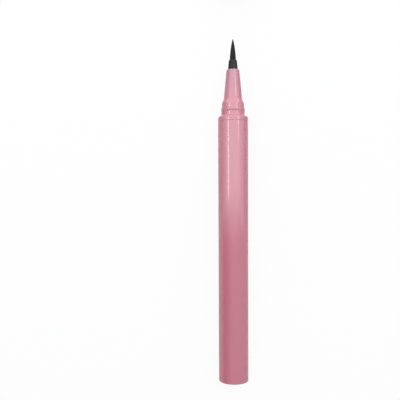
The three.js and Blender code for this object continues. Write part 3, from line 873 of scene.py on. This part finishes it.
# Where the broad light falls off, as shares of its width from the middle or of its length, and how much is
# left at its sides, its near end and its far end
BROAD_SIDE_START, BROAD_SIDE_SHARE = 0.3, 0.6
BROAD_NEAR_END, BROAD_NEAR_SHARE = 0.12, 0.2
BROAD_FAR_START, BROAD_FAR_SHARE = 0.5, 0.7
LEFT_WALL_RADIANCE, RIGHT_WALL_RADIANCE, SIDE_FOOT_SHARE = 1.0, 1.5, 0.4
FRONT_WALL_RADIANCE, FRONT_FOOT_SHARE = 2.05, 1.0
BACK_WALL_RADIANCE, BACK_FOOT_SHARE = 3.2, 0.4
TUBE_DROP = 0.02  # lamps that lie in one plane would hide each other
TUBE_WIDTH = 0.09
TUBE_RADIANCE = 6
LEFT_TUBE_ASIDE, LEFT_TUBE_START, LEFT_TUBE_END, LEFT_NEAR_SHARE = -0.5, -0.02, 0.17, 1
RIGHT_TUBE_ASIDE, RIGHT_TUBE_START, RIGHT_TUBE_END, RIGHT_NEAR_SHARE = 0.48, 0.09, 0.65, 0.55
TUBE_RISE = (0.25, 0.5)  # shares of a tube's length between which it gets brighter
LAMP_COLOUR = (0.985, 0.985, 1.03)

# The camera, in millimetres from the pen's axis and shoulder, and in degrees
CAMERA_ASIDE = -12.145
CAMERA_BEHIND = 30.43
CAMERA_ABOVE = 200.1
CAMERA_ANGLE = 40.13
CAMERA_ROLL = -0.155


def floor():
    """A white floor. The camera sees it as mostly white, with the pen's soft shadow left in it."""
    mesh = bpy.data.meshes.new("floor")
    corners = [(-FLOOR_HALF, -FLOOR_HALF, 0), (FLOOR_HALF, -FLOOR_HALF, 0)]
    corners += [(FLOOR_HALF, FLOOR_HALF, 0), (-FLOOR_HALF, FLOOR_HALF, 0)]
    mesh.from_pydata(corners, [], [(0, 1, 2, 3)])
    piece = bpy.data.objects.new("floor", mesh)
    bpy.context.scene.collection.objects.link(piece)
    finish = Finish("white_floor", (0.7, 0.7, 0.7), 0.9, Specular_IOR_Level=0)
    glow = finish.node("ShaderNodeEmission", {}, {"Color": (1, 1, 1, 1), "Strength": 1})
    lit = Field(finish, finish.shader.outputs[0])
    distance = finish.node("ShaderNodeVectorMath", {"operation": "LENGTH"}, {0: finish.place}, "Value")
    straight = finish.rising(distance, FLOOR_NEAR, FLOOR_FAR, FLOOR_GLOW, 1)
    factor = finish.seen(straight, FLOOR_GLOW_IN_GLOSS)
    both = finish.node("ShaderNodeMixShader", {}, {0: factor, 1: lit, 2: glow})
    finish.feed(finish.tree.nodes["Material Output"].inputs["Surface"], both)
    mesh.materials.append(finish.material)


def world():
    """An even pale room, plain white to the camera and to gloss, but to gloss dimmer behind on the left."""
    room = bpy.data.worlds.new("room")
    bpy.context.scene.world = room
    nodes = Nodes(room)
    direction = nodes.node("ShaderNodeTexCoord", output="Generated")
    right, ahead = (nodes.node("ShaderNodeSeparateXYZ", {}, {0: direction}, axis) for axis in (0, 1))
    dim = nodes.rising(right, *DIM_SIDEWAYS, 1, 0) * nodes.rising(ahead, *DIM_BEHIND, 1, 0)
    background = nodes.tree.nodes["Background"]
    background.inputs["Color"].default_value = (1, 1, 1, 1)
    white = nodes.seen(1, 1 - dim * ROOM_DIMNESS)
    nodes.feed(background.inputs["Strength"], ROOM_STRENGTH + white * (1 - ROOM_STRENGTH))


def panel(name, low, high, radiance, height=LIGHT_HEIGHT):
    """A flat lamp above the pen that shines straight down, from its low corner to its high one.

    Its energy is radiance x pi x width x length, which gives it that radiance to the eye.
    """
    data = bpy.data.lights.new(name, "AREA")
    data.shape = "RECTANGLE"
    data.size = high[0] - low[0]
    data.size_y = high[1] - low[1]
    data.energy = radiance * math.pi * data.size * data.size_y
    data.color = LAMP_COLOUR
    lamp = bpy.data.objects.new(name, data)
    lamp.location = ((low[0] + high[0]) / 2, (low[1] + high[1]) / 2, height)
    bpy.context.scene.collection.objects.link(lamp)
    return lamp


def lamp_places(lamp):
    """The node tree of a lamp, and the place on it across and along, each from 0 to 1."""
    nodes = Nodes(lamp.data)
    place = nodes.node("ShaderNodeNewGeometry", output="Parametric")
    across, along = (nodes.node("ShaderNodeSeparateXYZ", {}, {0: place}, axis) for axis in (0, 1))
    return nodes, across, along


def grade(nodes, strength):
    """Makes a lamp's strength vary over its face."""
    nodes.feed(nodes.tree.nodes["Emission"].inputs["Strength"], strength)


def broad_light():
    """A lamp that falls off towards its sides, and towards its near and far ends."""
    lamp = panel("broad_light", (ROOM_LEFT, BROAD_START), (ROOM_RIGHT, ROOM_FRONT), BROAD_RADIANCE)
    nodes, across, along = lamp_places(lamp)
    offside = nodes.node("ShaderNodeMath", {"operation": "ABSOLUTE"}, {0: across - 0.5})
    sides = nodes.rising(offside, BROAD_SIDE_START, 0.5, 1, BROAD_SIDE_SHARE)
    near = nodes.rising(along, 0, BROAD_NEAR_END, BROAD_NEAR_SHARE, 1)
    far = nodes.rising(along, BROAD_FAR_START, 1, 1, BROAD_FAR_SHARE)
    grade(nodes, sides * near * far)


def wall_light(name, start, end, radiance, foot_share):
    """A lamp that stands on the floor from a start to an end, faces the pen, and is dimmer at its foot."""
    length = math.dist(start, end)
    lamp = panel(name, (0, 0), (length, LIGHT_HEIGHT), radiance)
    lamp.location = ((start[0] + end[0]) / 2, (start[1] + end[1]) / 2, LIGHT_HEIGHT / 2)
    lamp.rotation_euler = (-math.pi / 2, 0, math.atan2(end[1] - start[1], end[0] - start[0]))
    nodes, _, descent = lamp_places(lamp)
    grade(nodes, 1 - descent * (1 - foot_share))


def wall_lights():
    """The four walls, each from its left end to its right one as the pen sees them."""
    left_start, left_end = (ROOM_LEFT, BROAD_START), (ROOM_LEFT, ROOM_FRONT)
    right_start, right_end = (ROOM_RIGHT, ROOM_FRONT), (ROOM_RIGHT, BROAD_START)
    back_start, back_end = (ROOM_RIGHT, ROOM_BACK), (ROOM_LEFT, ROOM_BACK)
    wall_light("left_wall", left_start, left_end, LEFT_WALL_RADIANCE, SIDE_FOOT_SHARE)
    wall_light("front_wall", left_end, right_start, FRONT_WALL_RADIANCE, FRONT_FOOT_SHARE)
    wall_light("right_wall", right_start, right_end, RIGHT_WALL_RADIANCE, SIDE_FOOT_SHARE)
    wall_light("back_wall", back_start, back_end, BACK_WALL_RADIANCE, BACK_FOOT_SHARE)


def tube_light(name, aside, start, end, near_share):
    """A narrow lamp along the pen, a little under the broad one and dimmer by a share at its near end."""
    low, high = (aside - TUBE_WIDTH / 2, start), (aside + TUBE_WIDTH / 2, end)
    lamp = panel(name, low, high, TUBE_RADIANCE, LIGHT_HEIGHT - TUBE_DROP)
    nodes, _, along = lamp_places(lamp)
    grade(nodes, nodes.rising(along, *TUBE_RISE, near_share, 1))


def camera():
    """Looks straight down on the pen's brush end."""
    data = bpy.data.cameras.new("camera")
    data.lens = data.sensor_width / 2 / math.tan(math.radians(CAMERA_ANGLE) / 2)
    eye = bpy.data.objects.new("camera", data)
    eye.location = (CAMERA_ASIDE * MM, (SHOULDER - CAMERA_BEHIND) * MM, (AXIS_HEIGHT + CAMERA_ABOVE) * MM)
    eye.rotation_euler = (0, 0, math.radians(CAMERA_ROLL))
    bpy.context.scene.collection.objects.link(eye)
    bpy.context.scene.camera = eye


floor()
world()
broad_light()
wall_lights()
tube_light("left_tube", LEFT_TUBE_ASIDE, LEFT_TUBE_START, LEFT_TUBE_END, LEFT_NEAR_SHARE)
tube_light("right_tube", RIGHT_TUBE_ASIDE, RIGHT_TUBE_START, RIGHT_TUBE_END, RIGHT_NEAR_SHARE)
camera()
bpy.context.scene.view_settings.view_transform = "Standard"
